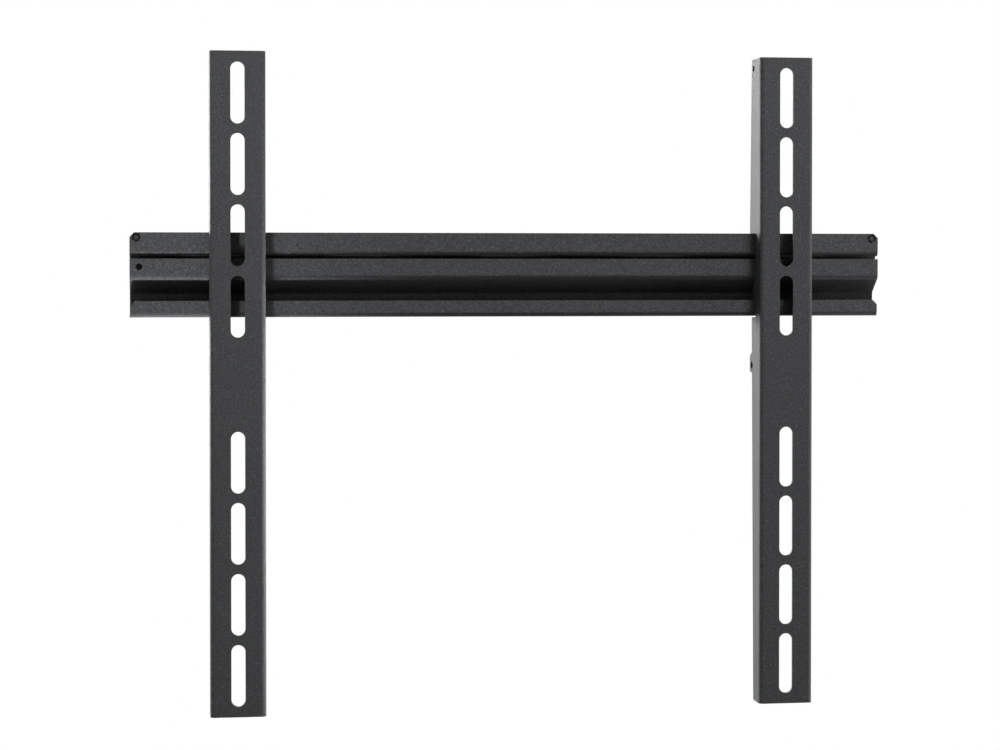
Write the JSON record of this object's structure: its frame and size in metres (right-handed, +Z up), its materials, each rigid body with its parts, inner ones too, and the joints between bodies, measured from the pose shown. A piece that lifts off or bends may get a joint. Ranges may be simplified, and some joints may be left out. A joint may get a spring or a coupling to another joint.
{
  "type": "display wall mount",
  "caption": "Low-profile wall mount for a flat display: slotted channel brackets hook onto a long folded rail with upturned lips and slide along it, kept on by a lock bar.",
  "frame": {"origin": "middle of the row of wall-screw slots, on the wall plane behind the rail", "axes": "+X along the rail to the viewer's right, +Y into the wall, +Z up"},
  "size_m": [0.51, 0.03, 0.44],
  "materials": {
    "rail_coat": "fine-textured black powder coat",
    "bar_coat": "fine-textured black powder coat",
    "bracket_coat": "fine-textured black powder coat",
    "stop_coat": "black powder coat"
  },
  "bodies": {
    "rail": {"wall_rail": "rail_coat", "lock_bar": "bar_coat", "left_end_stop": "stop_coat", "right_end_stop": "stop_coat"},
    "left_bracket": {"left_bracket": "bracket_coat"},
    "right_bracket": {"right_bracket": "bracket_coat"}
  },
  "joints": [
    {"name": "left_bracket_slide", "type": "slide", "parent": "rail", "child": "left_bracket", "axis": [1, 0, 0], "range_m": [-0.0446, 0.1636]},
    {"name": "right_bracket_slide", "type": "slide", "parent": "rail", "child": "right_bracket", "axis": [1, 0, 0], "range_m": [-0.1663, 0.0419]}
  ]
}
